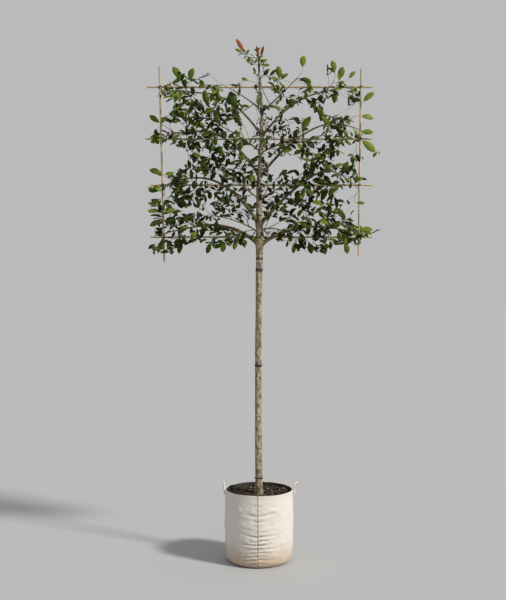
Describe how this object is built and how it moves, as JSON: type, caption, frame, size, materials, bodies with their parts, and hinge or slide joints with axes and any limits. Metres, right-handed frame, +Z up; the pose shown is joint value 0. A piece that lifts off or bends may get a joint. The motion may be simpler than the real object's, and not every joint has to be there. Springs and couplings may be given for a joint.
{
  "type": "potted espalier photinia",
  "caption": "Clear-stemmed evergreen tree trained flat on a bamboo frame, standing in a round canvas grow bag filled with soil.",
  "frame": {"origin": "centre of the bag's flat underside", "axes": "+Z up along the trunk; the flat crown lies across X, and its front faces -Y with the bamboo frame behind the trunk on +Y"},
  "size_m": [1.3287, 0.394, 2.9777],
  "materials": {
    "canvas": "matte",
    "lining": "matte",
    "rope": "matte",
    "soil": "matte",
    "bark": "matte",
    "bamboo": "satin",
    "tie": "matte",
    "leaf": "satin",
    "new_leaf": "satin"
  },
  "bodies": {
    "root": {"bag": "canvas", "bag_lining": "lining", "soil": "soil", "handle_left": "rope", "handle_right": "rope", "trunk": "bark", "bough_1_left": "bark", "bough_1_right": "bark", "bough_2_left": "bark", "bough_2_right": "bark", "bough_3_left": "bark", "bough_3_right": "bark", "bough_4_left": "bark", "bough_4_right": "bark", "rail_1": "bamboo", "rail_2": "bamboo", "rail_3": "bamboo", "rail_4": "bamboo", "upright_left": "bamboo", "upright_right": "bamboo", "tie_1_left": "tie", "tie_1_right": "tie", "tie_2_left": "tie", "tie_2_right": "tie", "tie_3_left": "tie", "tie_3_right": "tie", "tie_4_left": "tie", "tie_4_right": "tie", "band_1": "tie", "band_2": "tie", "band_3": "tie", "band_4": "tie", "foliage_1_left_outer": "leaf", "foliage_1_left_inner": "leaf", "foliage_1_right_outer": "leaf", "foliage_1_right_inner": "leaf", "foliage_2_left_outer": "leaf", "foliage_2_left_inner": "leaf", "foliage_2_right_outer": "leaf", "foliage_2_right_inner": "leaf", "foliage_3_left_outer": "leaf", "foliage_3_left_inner": "leaf", "foliage_3_right_outer": "leaf", "foliage_3_right_inner": "leaf", "foliage_4_left_outer": "leaf", "foliage_4_left_inner": "leaf", "foliage_4_right_outer": "leaf", "foliage_4_right_inner": "leaf", "foliage_5_leader": "new_leaf"}
  },
  "joints": []
}
